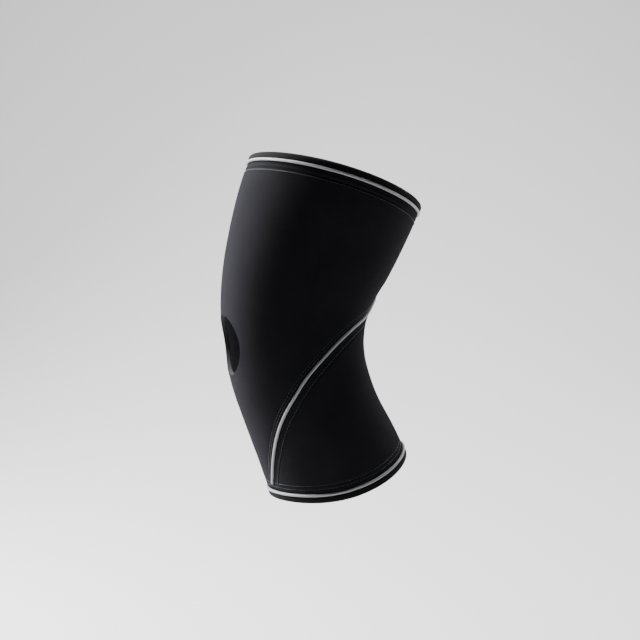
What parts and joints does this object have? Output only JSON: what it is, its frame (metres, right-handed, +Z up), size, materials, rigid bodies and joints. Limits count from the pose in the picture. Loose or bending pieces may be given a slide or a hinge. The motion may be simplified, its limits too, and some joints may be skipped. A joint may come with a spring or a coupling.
{
  "type": "open-patella knee sleeve",
  "caption": "Bent tubular knee sleeve of padded cloth with an open kneecap hole, piped curved side seams and taped rims.",
  "frame": {"origin": "on the sleeve's middle line, in the middle of its bend, which is the centre of the knee that it sits on", "axes": "+Z up through the thigh end, the kneecap opening faces -Y, +X towards the side shown in the picture; the sleeve is the same on both sides of X = 0, apart from the seam's lower end, which sits further round on the inner side"},
  "size_m": [0.1456, 0.1718, 0.2883],
  "materials": {
    "front_cloth": "fine knit with a soft sheen",
    "calf_cloth": "fine knit with a soft sheen",
    "piping": "satin",
    "tape": "matt ribbed knit"
  },
  "bodies": {
    "root": {"front_panel": "front_cloth", "calf_panel": "calf_cloth", "seam_piping": "piping", "top_piping": "piping", "bottom_piping": "piping", "top_binding": "tape", "bottom_binding": "tape"}
  },
  "joints": []
}
